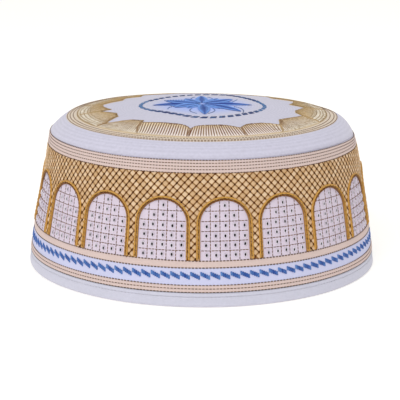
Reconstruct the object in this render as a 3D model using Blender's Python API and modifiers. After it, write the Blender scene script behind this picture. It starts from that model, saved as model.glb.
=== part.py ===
"""Embroidered round cap: a flared side wall, a slightly domed top and a folded hem.

Metres, +Z up. The origin is the middle of the lower edge, and the front of the
cap faces -Y. Angles round the cap are counted from the front towards +X.
"""
import math

import bmesh
import bpy

# Outside shape of the side wall, from the lower edge up to the crown seam
RIM_RADIUS = 0.0945
SEAM_RADIUS = 0.0822
SEAM_HEIGHT = 0.0716
WALL_BULGE = 0.00074

# Thicknesses of cloth, and the gap between neighbouring pieces
WALL_CLOTH = 0.0024
EDGE_CLOTH = 0.0016
HEM_CLOTH = 0.0009
GAP = 0.0003

# Crown, outside and inside of its cloth: a low dome out to a ring, then a rounded
# shoulder, a quadratic curve with one control point, down to the foot at the seam
CROWN_OUTSIDE = {
    "dome_rise": 0.0058, "ring": (0.0728, 0.0791), "control": (0.0784, 0.0763),
    "foot": (SEAM_RADIUS, SEAM_HEIGHT + GAP),
}
CROWN_INSIDE = {
    "dome_rise": 0.0056, "ring": (0.0718, 0.0771), "control": (0.0781, 0.0740),
    "foot": (SEAM_RADIUS - WALL_CLOTH, SEAM_HEIGHT + GAP),
}
SHOULDER_STEPS = 4
DOME_STEPS = 5

# Hem: the height of the folded strip, the cloth under the edge, and its rounding
HEM_HEIGHT = 0.0073
HEM_FLOOR = 0.0012
HEM_ROUNDING = 0.0009

# Corded ribs: the stitch lines that bound them, from the top down, and how far they stand out
RIB_GROUPS = (
    {"lines": (0.0716, 0.0702, 0.0687, 0.0672, 0.0655), "relief": 0.00035},
    {"lines": (0.0231, 0.0196), "relief": 0.00030},
    {"lines": (0.0111, 0.0094, 0.0078), "relief": 0.00035},
)
PLAIN_WALL_HEIGHTS = (0.055, 0.045, 0.034)
INNER_WALL_HEIGHTS = (0.0090, 0.0250, 0.0450, 0.0716)

# Arches: the golden double cord round each window
ARCH_COUNT = 18
FIRST_ARCH_ANGLE = math.radians(7.3)
ARCH_OPENING_HALF_WIDTH = 0.0120
ARCH_SPRING_HEIGHT = 0.0412
ARCH_INNER_RISE = 0.0111
ARCH_FOOT_HEIGHT = 0.0236
CORD_WIDTH = 0.0018
CORD_THICKNESS = 0.0009
ARCH_STEPS = 8
CORD_BEVEL_RESOLUTION = 2

# Flat sides round the cap, and how close two points count as one
SIDES = 72
MERGE_DISTANCE = 0.00001


def remove_all_objects():
    for old in list(bpy.data.objects):
        bpy.data.objects.remove(old, do_unlink=True)


def new_collection(name):
    collection = bpy.data.collections.new(name)
    bpy.context.scene.collection.children.link(collection)
    return collection


def cloth_material(name, colour, roughness):
    """A plain non-metal finish of one colour."""
    material = bpy.data.materials.new(name)
    material.use_nodes = True
    shader = material.node_tree.nodes["Principled BSDF"]
    shader.inputs["Base Color"].default_value = (*colour, 1.0)
    shader.inputs["Roughness"].default_value = roughness
    shader.inputs["Metallic"].default_value = 0.0
    return material


def wall_radius(height):
    """Outside radius of the wall: a cone between rim and seam, bulged like a parabola."""
    share = height / SEAM_HEIGHT
    return RIM_RADIUS + (SEAM_RADIUS - RIM_RADIUS) * share + 4.0 * WALL_BULGE * share * (1.0 - share)


def turned(name, outline, closed, collection, material, parent):
    """A profile in the XZ plane, turned once round Z by a Screw modifier."""
    mesh = bpy.data.meshes.new(name)
    edges = [(i, i + 1) for i in range(len(outline) - 1)]
    if closed:
        edges.append((len(outline) - 1, 0))
    mesh.from_pydata([(radius, 0.0, height) for radius, height in outline], edges, [])
    mesh.materials.append(material)
    piece = bpy.data.objects.new(name, mesh)
    collection.objects.link(piece)
    piece.parent = parent
    screw = piece.modifiers.new("turn", "SCREW")
    screw.axis = "Z"
    screw.angle = 2.0 * math.pi
    screw.steps = SIDES
    screw.render_steps = SIDES
    screw.use_merge_vertices = True
    screw.merge_threshold = MERGE_DISTANCE
    screw.use_smooth_shade = True
    return piece


def crown_skin(skin):
    """Points of one side of the crown's cloth, from the axis out to the foot of the shoulder."""
    ring_radius, ring_height = skin["ring"]
    points = []
    for step in range(DOME_STEPS):
        share = step / DOME_STEPS
        points.append((ring_radius * share, ring_height + skin["dome_rise"] * (1.0 - share * share)))
    for step in range(SHOULDER_STEPS + 1):
        along = step / SHOULDER_STEPS
        weights = ((1.0 - along) ** 2, 2.0 * along * (1.0 - along), along ** 2)
        corners = (skin["ring"], skin["control"], skin["foot"])
        points.append(tuple(
            sum(weight * corner[axis] for weight, corner in zip(weights, corners)) for axis in (0, 1)
        ))
    return points


def make_crown(collection, parent):
    """The domed top and its shoulder: out and down the outside, then back along the inside."""
    material = cloth_material("white_crown_cloth", (0.83, 0.82, 0.90), 0.85)
    outline = crown_skin(CROWN_OUTSIDE) + crown_skin(CROWN_INSIDE)[::-1]
    return turned("crown", outline, False, collection, material, parent)


def wall_outline():
    """Down the outside over the ribs, into the fold of the hem, and up the inside."""
    outside = []
    for number, group in enumerate(RIB_GROUPS):
        lines = group["lines"]
        for upper, lower in zip(lines, lines[1:]):
            middle = (upper + lower) / 2.0
            outside.append((wall_radius(upper), upper))
            outside.append((wall_radius(middle) + group["relief"], middle))
        outside.append((wall_radius(lines[-1]), lines[-1]))
        if number == 0:
            outside += [(wall_radius(height), height) for height in PLAIN_WALL_HEIGHTS]
    in_fold = HEM_CLOTH + GAP
    foot = HEM_FLOOR + GAP
    fold_top = HEM_HEIGHT + GAP
    outside.append((wall_radius(fold_top) - in_fold, fold_top))
    outside.append((wall_radius(foot) - in_fold, foot))
    inside = [
        (wall_radius(foot) - in_fold - EDGE_CLOTH, foot),
        (wall_radius(fold_top) - in_fold - EDGE_CLOTH, fold_top),
    ]
    inside += [(wall_radius(height) - WALL_CLOTH, height) for height in INNER_WALL_HEIGHTS]
    return outside + inside


def make_side_band(collection, parent):
    material = cloth_material("embroidered_wall_cloth", (0.72, 0.58, 0.44), 0.85)
    return turned("side_band", wall_outline(), True, collection, material, parent)


def hem_outline():
    """A U-shaped strip: down the outside, flat below, up the inside, and back through the fold."""
    half_rounding = HEM_ROUNDING * (1.0 - math.sqrt(0.5))
    depth = 2.0 * HEM_CLOTH + 2.0 * GAP + EDGE_CLOTH
    outer_foot = wall_radius(HEM_ROUNDING)
    inner_foot = outer_foot - depth
    return [
        (wall_radius(HEM_HEIGHT), HEM_HEIGHT),
        (outer_foot, HEM_ROUNDING),
        (outer_foot - half_rounding, half_rounding),
        (outer_foot - HEM_ROUNDING, 0.0),
        (inner_foot + HEM_ROUNDING, 0.0),
        (inner_foot + half_rounding, half_rounding),
        (inner_foot, HEM_ROUNDING),
        (wall_radius(HEM_HEIGHT) - depth, HEM_HEIGHT),
        (wall_radius(HEM_HEIGHT) - depth + HEM_CLOTH, HEM_HEIGHT),
        (wall_radius(HEM_FLOOR) - depth + HEM_CLOTH, HEM_FLOOR),
        (wall_radius(HEM_FLOOR) - HEM_CLOTH, HEM_FLOOR),
        (wall_radius(HEM_HEIGHT) - HEM_CLOTH, HEM_HEIGHT),
    ]


def make_hem(collection, parent):
    material = cloth_material("white_hem_cloth", (0.80, 0.80, 0.88), 0.85)
    return turned("hem_binding", hem_outline(), True, collection, material, parent)


def arch_path():
    """Middle line of the cord on the wall laid flat: x along the wall, y up it."""
    half_width = ARCH_OPENING_HALF_WIDTH + CORD_WIDTH / 2.0
    rise = ARCH_INNER_RISE + CORD_WIDTH / 2.0
    path = [(-half_width, ARCH_FOOT_HEIGHT)]
    for step in range(ARCH_STEPS + 1):
        turn = math.pi * (1.0 - step / ARCH_STEPS)
        path.append((half_width * math.cos(turn), ARCH_SPRING_HEIGHT + rise * math.sin(turn)))
    path.append((half_width, ARCH_FOOT_HEIGHT))
    return path


def wrap_on_wall(mesh):
    """Bend a flat piece onto the front of the wall and flatten its round section.

    x becomes an arc at the height of the arches' springing, y the height, and z the
    distance off the wall.
    """
    spring_radius = wall_radius(ARCH_SPRING_HEIGHT)
    flattening = CORD_THICKNESS / CORD_WIDTH
    for vertex in mesh.vertices:
        along, height, out = vertex.co
        angle = along / spring_radius
        radius = wall_radius(height) + GAP + CORD_THICKNESS / 2.0 + flattening * out
        vertex.co = (radius * math.sin(angle), -radius * math.cos(angle), height)


def arch_cord_mesh(material):
    """A round tube along the flat path, made a mesh, welded and bent onto the wall."""
    curve = bpy.data.curves.new("arch_path", "CURVE")
    curve.dimensions = "3D"
    curve.bevel_depth = CORD_WIDTH / 2.0
    curve.bevel_resolution = CORD_BEVEL_RESOLUTION
    curve.use_fill_caps = True
    path = arch_path()
    spline = curve.splines.new("POLY")
    spline.points.add(len(path) - 1)
    for point, (along, height) in zip(spline.points, path):
        point.co = (along, height, 0.0, 1.0)
    guide = bpy.data.objects.new("arch_path", curve)
    bpy.context.scene.collection.objects.link(guide)
    bpy.context.view_layer.update()
    mesh = bpy.data.meshes.new_from_object(guide.evaluated_get(bpy.context.evaluated_depsgraph_get()))
    bpy.data.objects.remove(guide, do_unlink=True)
    mesh.name = "arch_cord"
    work = bmesh.new()
    work.from_mesh(mesh)
    bmesh.ops.remove_doubles(work, verts=work.verts, dist=MERGE_DISTANCE)
    bmesh.ops.recalc_face_normals(work, faces=work.faces)
    work.to_mesh(mesh)
    work.free()
    wrap_on_wall(mesh)
    mesh.materials.clear()
    mesh.materials.append(material)
    mesh.shade_smooth()
    return mesh


def make_arch_cords(collection, parent):
    """One cord for each arch, all with the same mesh, turned round the cap."""
    mesh = arch_cord_mesh(cloth_material("golden_cord", (0.62, 0.40, 0.12), 0.6))
    for number in range(ARCH_COUNT):
        cord = bpy.data.objects.new(f"arch_cord_{number + 1:02d}", mesh)
        collection.objects.link(cord)
        cord.parent = parent
        cord.rotation_euler.z = FIRST_ARCH_ANGLE + number * 2.0 * math.pi / ARCH_COUNT


def main():
    remove_all_objects()
    collection = new_collection("embroidered_cap")
    middle = bpy.data.objects.new("cap_middle", None)
    collection.objects.link(middle)
    make_crown(collection, middle)
    make_side_band(collection, middle)
    make_hem(collection, middle)
    make_arch_cords(collection, middle)


main()
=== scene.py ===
"""An embroidered round cap of white cotton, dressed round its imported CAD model.

Metres, +Z up. The cap stands on its hem at the origin and its front faces -Y. Angles
round the cap are counted from the front towards +X.
"""
# %% [markdown]
# # An embroidered round cap
# The real cap is a quilted cotton wall, a low domed top and a folded hem, covered in
# machine embroidery. The CAD model holds its cloth and its golden cords as plain solids.
# Here each solid gets a detailed piece in its place, and the stitches are added on top.
# Everything is worked out as whole numpy arrays, because a cap of ten thousand stitches
# would be slow to make one object at a time.

import math

import bpy
import numpy as np
from mathutils import Matrix


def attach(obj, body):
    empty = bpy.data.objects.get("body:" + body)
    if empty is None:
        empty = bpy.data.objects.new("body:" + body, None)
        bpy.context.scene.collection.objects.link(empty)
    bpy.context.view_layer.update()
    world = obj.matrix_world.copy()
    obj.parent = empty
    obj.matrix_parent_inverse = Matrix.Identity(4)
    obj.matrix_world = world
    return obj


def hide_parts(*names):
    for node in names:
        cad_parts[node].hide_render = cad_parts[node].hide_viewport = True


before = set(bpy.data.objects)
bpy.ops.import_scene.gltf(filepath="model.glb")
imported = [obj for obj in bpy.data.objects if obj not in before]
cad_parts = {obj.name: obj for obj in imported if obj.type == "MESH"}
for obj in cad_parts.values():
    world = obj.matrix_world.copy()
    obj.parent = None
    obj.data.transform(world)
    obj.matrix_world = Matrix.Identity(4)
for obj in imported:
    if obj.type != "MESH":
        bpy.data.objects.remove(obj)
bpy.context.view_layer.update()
MM = 0.001

# %% [markdown]
# ## Camera
# The photograph looks slightly down on the cap from its front, through a long lens. The
# camera could be placed by eye. Its place was worked out from the cap's outline and its
# stitched circles instead, so that the render can be laid over the photograph.

# %% Camera
CAMERA_PLACE = (-0.925 * MM, -788.7 * MM, 225.65 * MM)
CAMERA_PITCH = 0.24145
CAMERA_ROLL = 0.0026
SENSOR_WIDTH = 36.0
LENS_LENGTH = 133.155

camera = bpy.data.objects.new("camera", bpy.data.cameras.new("camera"))
bpy.context.scene.collection.objects.link(camera)
camera.data.sensor_width = SENSOR_WIDTH
camera.data.lens = LENS_LENGTH
pitched = Matrix.Rotation(math.pi / 2.0 - CAMERA_PITCH, 4, "X")
rolled = Matrix.Rotation(CAMERA_ROLL, 4, "Z")
camera.matrix_world = Matrix.Translation(CAMERA_PLACE) @ pitched @ rolled
bpy.context.scene.camera = camera
bpy.context.scene.view_settings.view_transform = "Standard"
print("camera pitched down", round(math.degrees(CAMERA_PITCH), 1), "degrees")

# %% [markdown]
# ## Lamps
# The cap was photographed in even light, with hardly a shadow. The surround gives most of
# it here, as a light tent does. One broad lamp in front brings out the stitches, and a
# weaker one above lights the top. Area lamps were chosen for their soft shadows.

# %% Lamps and surround
LAMPS = {
    "front_lamp": {"place": (-0.75, -1.7, 1.5), "size": 1.3, "watts": 15.0},
    "top_lamp": {"place": (0.2, 0.3, 2.0), "size": 1.6, "watts": 8.0},
}
AIM_HEIGHT = 40.0 * MM
SURROUND = {"Color": (1.0, 0.995, 0.985, 1.0), "Strength": 0.62}


def add_lamp(name, place, size, watts):
    """A square lamp that faces the middle of the cap."""
    lamp = bpy.data.objects.new(name, bpy.data.lights.new(name, "AREA"))
    bpy.context.scene.collection.objects.link(lamp)
    lamp.data.size = size
    lamp.data.energy = watts
    lamp.location = place
    aim = -lamp.location
    aim.z += AIM_HEIGHT
    lamp.rotation_euler = aim.to_track_quat("-Z", "Y").to_euler()


for lamp_name, lamp_values in LAMPS.items():
    add_lamp(lamp_name, **lamp_values)
surround = bpy.data.worlds.new("surround")
surround.use_nodes = True
for socket_name, value in SURROUND.items():
    surround.node_tree.nodes["Background"].inputs[socket_name].default_value = value
bpy.context.scene.world = surround
print("lamps:", ", ".join(LAMPS))

# %% [markdown]
# ## A small language for materials
# A cloth's look is a sum of simple patterns: stripes, noise, bands. Written as node
# after node that is hard to read. The class below wraps one socket, so that sums on
# sockets read as sums on numbers, and each sum adds its own Math node.

# %% Sockets that can be added and multiplied
class Flow:
    """A socket of a material. Arithmetic with other sockets or numbers adds Math nodes."""

    def __init__(self, tree, socket=None):
        self.tree = tree
        self.socket = socket

    def node(self, kind, settings=None, sockets=None, output=0):
        """Adds a node: first its settings, then the values or links of its sockets."""
        made = self.tree.nodes.new(kind)
        for name, value in (settings or {}).items():
            setattr(made, name, value)
        for name, value in (sockets or {}).items():
            if isinstance(value, Flow):
                self.tree.links.new(value.socket, made.inputs[name])
            else:
                made.inputs[name].default_value = value
        return Flow(self.tree, made.outputs[output])

    def place(self):
        """Where a point is on the object, in metres."""
        return self.node("ShaderNodeTexCoord", output="Object")

    def uv(self):
        """Where a point is on its flat cloth or thread."""
        return self.node("ShaderNodeUVMap", {"uv_map": "UVMap"})

    def carried(self, label):
        """A number that the mesh carries at each of its points."""
        return self.node("ShaderNodeAttribute", {"attribute_name": label}, output="Fac")

    def apart(self):
        """The first two numbers of a vector."""
        first = self.node("ShaderNodeSeparateXYZ", {}, {"Vector": self})
        return first, Flow(self.tree, first.socket.node.outputs["Y"])

    def math(self, operation, *values):
        """A Math node of one operation on sockets or numbers."""
        return self.node("ShaderNodeMath", {"operation": operation}, dict(enumerate(values)))

    def __add__(self, other):
        return self.math("ADD", self, other)

    def __sub__(self, other):
        return self.math("SUBTRACT", self, other)

    def __rsub__(self, other):
        return self.math("SUBTRACT", other, self)

    def __mul__(self, other):
        return self.math("MULTIPLY", self, other)

    __radd__ = __add__
    __rmul__ = __mul__

    def wave(self, pitch):
        """The sine of this value, one period every pitch, from -1 to 1."""
        return self.math("SINE", self * (2.0 * math.pi / pitch))

    def stripes(self, pitch):
        """The same sine from 0 to 1."""
        return self.wave(pitch) * 0.5 + 0.5

    def rise(self, low, high):
        """0 up to low, 1 from high on, and a smooth rise between them."""
        ends = {"Value": self, "From Min": low, "From Max": high}
        return self.node("ShaderNodeMapRange", {"interpolation_type": "SMOOTHSTEP"}, ends)

    def mix(self, first, second):
        """The colour first where this value is 0, and second where it is 1."""
        return self.node("ShaderNodeMix", {"data_type": "RGBA"}, {0: self, 6: first, 7: second}, 2)


print("a Flow can be added, subtracted and multiplied")

# %% [markdown]
# ## Finishes for cloth
# Cotton is dull, and its fine hairs catch light at a glancing angle, which the sheen of
# the shader gives. Neither dye nor weave is ever even. A picture of cloth could be wrapped
# round the cap, but it would blur close up. So each finish is a colour times slow noise,
# and a fine pattern of heights that only bends the light.

# %% Cloth finishes
def colour(red, green, blue):
    """A display colour, 0 to 255, as the linear colour that a material needs."""
    parts = [value / 255.0 for value in (red, green, blue)]
    linear = [part / 12.92 if part <= 0.04045 else ((part + 0.055) / 1.055) ** 2.4 for part in parts]
    return (*linear, 1.0)


def cloth_finish(name, roughness, sheen, specular=0.25):
    """A dull, slightly hairy material. Returns it and a Flow to build its patterns with."""
    material = bpy.data.materials.new(name)
    material.use_nodes = True
    shader = material.node_tree.nodes["Principled BSDF"]
    shader.inputs["Roughness"].default_value = roughness
    shader.inputs["Sheen Weight"].default_value = sheen
    shader.inputs["Specular IOR Level"].default_value = specular
    return material, Flow(material.node_tree)


def unevenness(flow, scale, share):
    """A brightness that wanders by share to either side of 1, as cloth and dye do."""
    noise = flow.node("ShaderNodeTexNoise", {}, {"Vector": flow.place(), "Scale": scale, "Detail": 3.0})
    return (noise - 0.5) * (2.0 * share) + 1.0


def feed(material, base, brightness, height, depth):
    """Links a colour times a brightness, and a height pattern, into the shader.

    Vector Math scales the colour, which keeps its hue. Height's 0 to 1 is depth metres.
    """
    tree = material.node_tree
    shader = tree.nodes["Principled BSDF"]
    shown = base.node("ShaderNodeVectorMath", {"operation": "SCALE"}, {0: base, "Scale": brightness})
    relief = base.node("ShaderNodeBump", {}, {"Strength": 1.0, "Distance": depth, "Height": height})
    tree.links.new(shown.socket, shader.inputs["Base Color"])
    tree.links.new(relief.socket, shader.inputs["Normal"])


print("middle grey as a linear value:", round(colour(128, 128, 128)[0], 3))

# %% [markdown]
# ## Pieces from arrays
# Blender can take a whole mesh as flat lists: all corners of all faces in one call. So
# each piece is first a numpy array of points and an array of faces. A UV map gives the
# place on the cloth in metres, and a number called shade gives each thread its own tint.

# %% Build a piece
def make_piece(name, points, faces, uvs, material, values=None):
    """A mesh from points, arrays of faces (n by corners) and their UVs (n by corners by 2)."""
    mesh = bpy.data.meshes.new(name)
    corners = np.concatenate([part.ravel() for part in faces]).astype(np.int32)
    sizes = np.concatenate([np.full(len(part), part.shape[1]) for part in faces])
    starts = np.concatenate([[0], np.cumsum(sizes)[:-1]]).astype(np.int32)
    mesh.vertices.add(len(points))
    mesh.vertices.foreach_set("co", np.ascontiguousarray(points, dtype=np.float32).ravel())
    mesh.loops.add(len(corners))
    mesh.loops.foreach_set("vertex_index", corners)
    mesh.polygons.add(len(sizes))
    mesh.polygons.foreach_set("loop_start", starts)
    mesh.update(calc_edges=True)
    layer = mesh.uv_layers.new(name="UVMap")
    flat_uv = np.concatenate([part.reshape(-1, 2) for part in uvs]).astype(np.float32)
    layer.data.foreach_set("uv", flat_uv.ravel())
    for label, value in (values or {}).items():
        attribute = mesh.attributes.new(label, "FLOAT", "POINT")
        attribute.data.foreach_set("value", np.ascontiguousarray(value, dtype=np.float32).ravel())
    mesh.materials.append(material)
    mesh.shade_smooth()
    mesh.validate()
    piece = bpy.data.objects.new(name, mesh)
    bpy.context.scene.collection.objects.link(piece)
    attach(piece, "root")
    print(f"{name}: {int((sizes - 2).sum())} triangles")
    return piece


def grid_faces(rows, columns, wrap_rows=False, wrap_columns=True):
    """Four-cornered faces between neighbouring points of a grid, and each corner's (row, column)."""
    row = np.arange(rows if wrap_rows else rows - 1)[:, None]
    column = np.arange(columns if wrap_columns else columns - 1)[None, :]
    corner_rows = (row[..., None] + [0, 0, 1, 1]) + 0 * column[..., None]
    corner_columns = (column[..., None] + [0, 1, 1, 0]) + 0 * row[..., None]
    faces = (corner_rows % rows) * columns + corner_columns % columns
    return faces.reshape(-1, 4), corner_rows.reshape(-1, 4), corner_columns.reshape(-1, 4)


def copies(faces, uv, points_each, count):
    """Faces and UVs of one shape, repeated for count shapes whose points follow each other."""
    shift = points_each * np.arange(count)[:, None, None]
    uvs = np.broadcast_to(uv, (count, *uv.shape))
    return [(faces + shift).reshape(-1, faces.shape[1])], [uvs.reshape(-1, *uv.shape[1:])]


def round_angles(count):
    """Even angles once round the cap, starting at its back."""
    return np.arange(count) * 2.0 * math.pi / count - math.pi


# %% [markdown]
# ## The wall as a surface
# Stitches are easiest to plan on flat cloth. So the wall is rolled out flat, with x along
# it and y up it. One function takes a flat place and a distance off the cloth, and
# returns the point in space. Small slow waves, a dent and a sag are part of it, so that
# cloth and stitches wander together.

# %% The wall as a surface
RIM_RADIUS = 94.5 * MM
SEAM_RADIUS = 82.2 * MM
SEAM_HEIGHT = 71.6 * MM
WALL_BULGE = 0.74 * MM
WALL_TILT = math.atan2(RIM_RADIUS - SEAM_RADIUS, SEAM_HEIGHT)
ARCH_SPRING_HEIGHT = 41.2 * MM
WALL_WAVES = ((0.16, 2.0, 0.6, 0.0), (0.10, 5.0, 1.9, 30.0), (0.06, 11.0, 0.0, 90.0))
LEFT_DENT = {
    "angle": math.radians(-95.0), "reach": 0.6,
    "height": 46.0 * MM, "spread": 21.0 * MM, "depth": 1.4 * MM,
}
RIGHT_SAG = {
    "angle": math.radians(90.0), "reach": math.radians(19.0),
    "from": 63.0 * MM, "depth": 1.9 * MM,
}


def wall_radius(height):
    """Outside radius: a cone between rim and seam, bulged like a parabola."""
    share = height / SEAM_HEIGHT
    return RIM_RADIUS + (SEAM_RADIUS - RIM_RADIUS) * share + 4.0 * WALL_BULGE * share * (1.0 - share)


def bell_round(angle, place):
    """A bell round the cap: 1 at the place's angle, less by the square of the turn over its reach."""
    turn = np.arctan2(np.sin(angle - place["angle"]), np.cos(angle - place["angle"]))
    return np.exp(-(turn / place["reach"]) ** 2)


def wall_wander(angle, height):
    """How far the wall is pushed out: sines round it, each of a size in millimetres, less the dent."""
    waves = sum(
        size * np.sin(count * angle + start + slant * height) for size, count, start, slant in WALL_WAVES
    )
    upright = np.exp(-((height - LEFT_DENT["height"]) / LEFT_DENT["spread"]) ** 2)
    return waves * MM - LEFT_DENT["depth"] * bell_round(angle, LEFT_DENT) * upright


def wall_sag(angle, height):
    """How far the top of the wall has sunk on the right: a bell round it that grows to the seam."""
    grown = np.clip((height - RIGHT_SAG["from"]) / (SEAM_HEIGHT - RIGHT_SAG["from"]), 0.0, 1.0)
    return RIGHT_SAG["depth"] * bell_round(angle, RIGHT_SAG) * grown ** 1.5


FLAT_RADIUS = wall_radius(ARCH_SPRING_HEIGHT)
WALL_LENGTH = 2.0 * math.pi * FLAT_RADIUS


def on_wall(along, height, out):
    """The wall's point: angle is along over the flat radius, and out leaves the wall square."""
    angle = along / FLAT_RADIUS
    radius = wall_radius(height) + wall_wander(angle, height) + out * math.cos(WALL_TILT)
    up = height - wall_sag(angle, height) + out * math.sin(WALL_TILT)
    return np.stack(np.broadcast_arrays(radius * np.sin(angle), -radius * np.cos(angle), up), axis=-1)


print("wall laid flat:", round(WALL_LENGTH / MM), "mm long")

# %% [markdown]
# ## The top as a surface
# The top is planned the same way, but seen from above. It is a low dome, so a place on it
# is simply its plan x and y. At the back the real cloth slumps. Two slanting lines mark
# where the slump starts, and past them the height falls faster and faster.

# %% The top as a surface
RING_RADIUS = 72.8 * MM
RING_HEIGHT = 79.1 * MM
DOME_RISE = 5.8 * MM
BACK_DROPS = (
    {"towards": math.radians(10.0), "from": 41.0 * MM, "reach": 32.0 * MM, "depth": 2.0 * MM},
    {"towards": math.radians(54.0), "from": 57.0 * MM, "reach": 16.0 * MM, "depth": 1.4 * MM},
)


def back_drop(x, y):
    """The top falls away at the back, with the square of the way past two slanting lines."""
    total = 0.0
    for drop in BACK_DROPS:
        backward = x * math.sin(drop["towards"]) + y * math.cos(drop["towards"])
        past = np.maximum(backward - drop["from"], 0.0) / drop["reach"]
        total = total + drop["depth"] * past ** 2
    return total


def on_top(x, y, out):
    """The top's point: a dome that falls with the square of the distance from the middle."""
    distance = (x * x + y * y) / RING_RADIUS ** 2
    height = RING_HEIGHT + DOME_RISE * (1.0 - distance) - back_drop(x, y) + out
    return np.stack(np.broadcast_arrays(x, y, height), axis=-1)


def polar(radius, angle):
    """Plan x and y of a radius and an angle counted from the front."""
    return np.stack(np.broadcast_arrays(radius * np.sin(angle), -radius * np.cos(angle)), axis=-1)


print("top of the dome at", round((RING_HEIGHT + DOME_RISE) / MM, 1), "mm")

# %% [markdown]
# ## White cotton
# The plain cloth is a fine cotton weave. Under a lens it is a chequer of tiny humps, one
# for each thread that passes over. Two sines multiplied give that chequer, and noise
# keeps the white from looking painted. The crown also has faint rows of quilting, a cream
# ground under the wreath's circles and a blue haze round the flower.

# %% Weave and the crown's cloth finish
THREAD_PITCH = 0.62 * MM
WEAVE_DEPTH = 0.05 * MM
QUILTING_PITCH = 1.6 * MM
COTTON_WHITE = colour(205, 203, 221)
COTTON_INSIDE = colour(214, 211, 222)
RING_CREAM = colour(226, 210, 190)
PALE_BLUE = colour(150, 180, 255)


def weave(first, second):
    """Humps where threads cross: the product of a sine along and a sine across the cloth."""
    return first.wave(2.0 * THREAD_PITCH) * second.wave(2.0 * THREAD_PITCH) * 0.5 + 0.5


crown_finish, flow = cloth_finish("white_crown_cotton", 0.9, 0.25)
east, north = flow.place().apart()
squared = east * east + north * north
distance = squared.math("SQRT", squared)
outside = flow.carried("outside")
in_ring = distance.rise(66.4 * MM, 67.2 * MM) * (1.0 - distance.rise(72.9 * MM, 73.4 * MM)) * outside
in_circle = (1.0 - distance.rise(10.0 * MM, 33.0 * MM)) * outside
base = (in_circle * 0.9).mix(in_ring.mix(COTTON_WHITE, RING_CREAM), PALE_BLUE)
quilting = distance.stripes(QUILTING_PITCH)
look = unevenness(flow, 700.0, 0.12) * unevenness(flow, 60.0, 0.025) * (quilting * 0.07 + 0.965)
feed(crown_finish, base, look, weave(east, north) * 0.6 + quilting, WEAVE_DEPTH)
print("crown cloth: threads every", round(THREAD_PITCH / MM, 2), "mm")

# %% [markdown]
# ## The crown
# The top and its shoulder are one round of quilted cotton. Its section is a low parabola
# out to the stitched ring, then a curve that rolls over the seam and tucks under itself.
# Turning that section round the axis gives the cloth, and a second skin below gives its
# thickness. The shoulder sags a little on the left and at the back right, as the real
# one does, and its foot follows the wall's sag.

# %% Crown cloth
CROWN_COLUMNS = 360
CROWN_THICKNESS = 2.0 * MM
DOME_ROWS = 40
SHOULDER_ROWS = 34
SHOULDER_CURVE = ((RING_RADIUS, RING_HEIGHT), (78.6 * MM, 76.5 * MM), (82.2 * MM, 71.5 * MM))
SHOULDER_PUFF = 0.45 * MM
FOOT_TUCK = 0.7 * MM
CROWN_ACROSS = 2.0 * (SEAM_RADIUS + 5.5 * MM)
SAGS = (
    {"angle": math.radians(-78.0), "reach": math.radians(38.0), "depth": 1.1 * MM},
    {"angle": math.radians(134.0), "reach": math.radians(20.0), "depth": 1.6 * MM},
)


def turned(radii, heights, angles):
    """A profile turned round the axis: a row of points for each radius and height."""
    plan = polar(radii + 0.0 * angles, angles)
    return np.concatenate([plan, (heights + 0.0 * angles)[..., None]], axis=-1)


def crown_skin(under, angles):
    """One skin: the dome, lowered by under, then a Bezier shoulder with a puff and a tuck."""
    dome = polar(np.linspace(0.025, 1.0, DOME_ROWS)[:, None] * RING_RADIUS, angles)
    top = on_top(dome[..., 0], dome[..., 1], -under)
    step = np.linspace(0.0, 1.0, SHOULDER_ROWS)[1:, None]
    weights = ((1.0 - step) ** 2, 2.0 * step * (1.0 - step), step ** 2)
    radius = sum(weight * corner[0] for weight, corner in zip(weights, SHOULDER_CURVE))
    height = sum(weight * corner[1] for weight, corner in zip(weights, SHOULDER_CURVE))
    thinned = np.minimum(1.0, 4.0 * step)
    puff = SHOULDER_PUFF * np.sin(math.pi * step) - under * thinned
    tuck = FOOT_TUCK * np.clip((step - 0.86) / 0.14, 0.0, 1.0) ** 2
    sag = sum(bell["depth"] * bell_round(angles, bell) for bell in SAGS) * np.sin(math.pi * step ** 1.3)
    joined = back_drop(*np.moveaxis(polar(RING_RADIUS, angles), -1, 0)) * (1.0 - step) ** 2
    sunk = wall_sag(angles, SEAM_HEIGHT) * step ** 1.5
    lowered = sag + joined + under * (1.0 - thinned) + sunk
    side = turned(radius + 0.62 * puff - tuck, height + 0.78 * puff - lowered, angles)
    return np.concatenate([top, side])


crown_angles = round_angles(CROWN_COLUMNS)
outer_skin = crown_skin(0.0, crown_angles)
inner_skin = crown_skin(CROWN_THICKNESS, crown_angles)[::-1]
rows = np.concatenate([outer_skin, inner_skin])
poles = np.stack([on_top(0.0, 0.0, 0.0), on_top(0.0, 0.0, -CROWN_THICKNESS)])
points = np.concatenate([rows.reshape(-1, 3), poles])
quads, _, _ = grid_faces(len(rows), CROWN_COLUMNS)
column = np.arange(CROWN_COLUMNS)
beside = (column + 1) % CROWN_COLUMNS
pole = np.full(CROWN_COLUMNS, len(rows) * CROWN_COLUMNS)
last = (len(rows) - 1) * CROWN_COLUMNS
top_fan = np.stack([pole, column, beside], axis=1)
under_fan = np.stack([pole + 1, last + beside, last + column], axis=1)
faces = [quads[:, ::-1], top_fan, under_fan]
is_outside = np.concatenate([np.ones(outer_skin.size // 3), np.zeros(inner_skin.size // 3), [1.0, 0.0]])
crown_cloth = make_piece(
    "crown_cloth", points, faces, [points[part][..., :2] for part in faces], crown_finish,
    {"outside": is_outside},
)
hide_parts("crown")
math.pi * CROWN_ACROSS ** 2 / 4.0

# %% [markdown]
# ## Arches on the flat wall
# Eighteen arched windows stand round the wall. One function gives how far a place is from
# the nearest opening's edge. The cloth uses it for its colour, the lattice to stop at the
# arch, and the grid to stay inside, so all three always agree.

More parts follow.
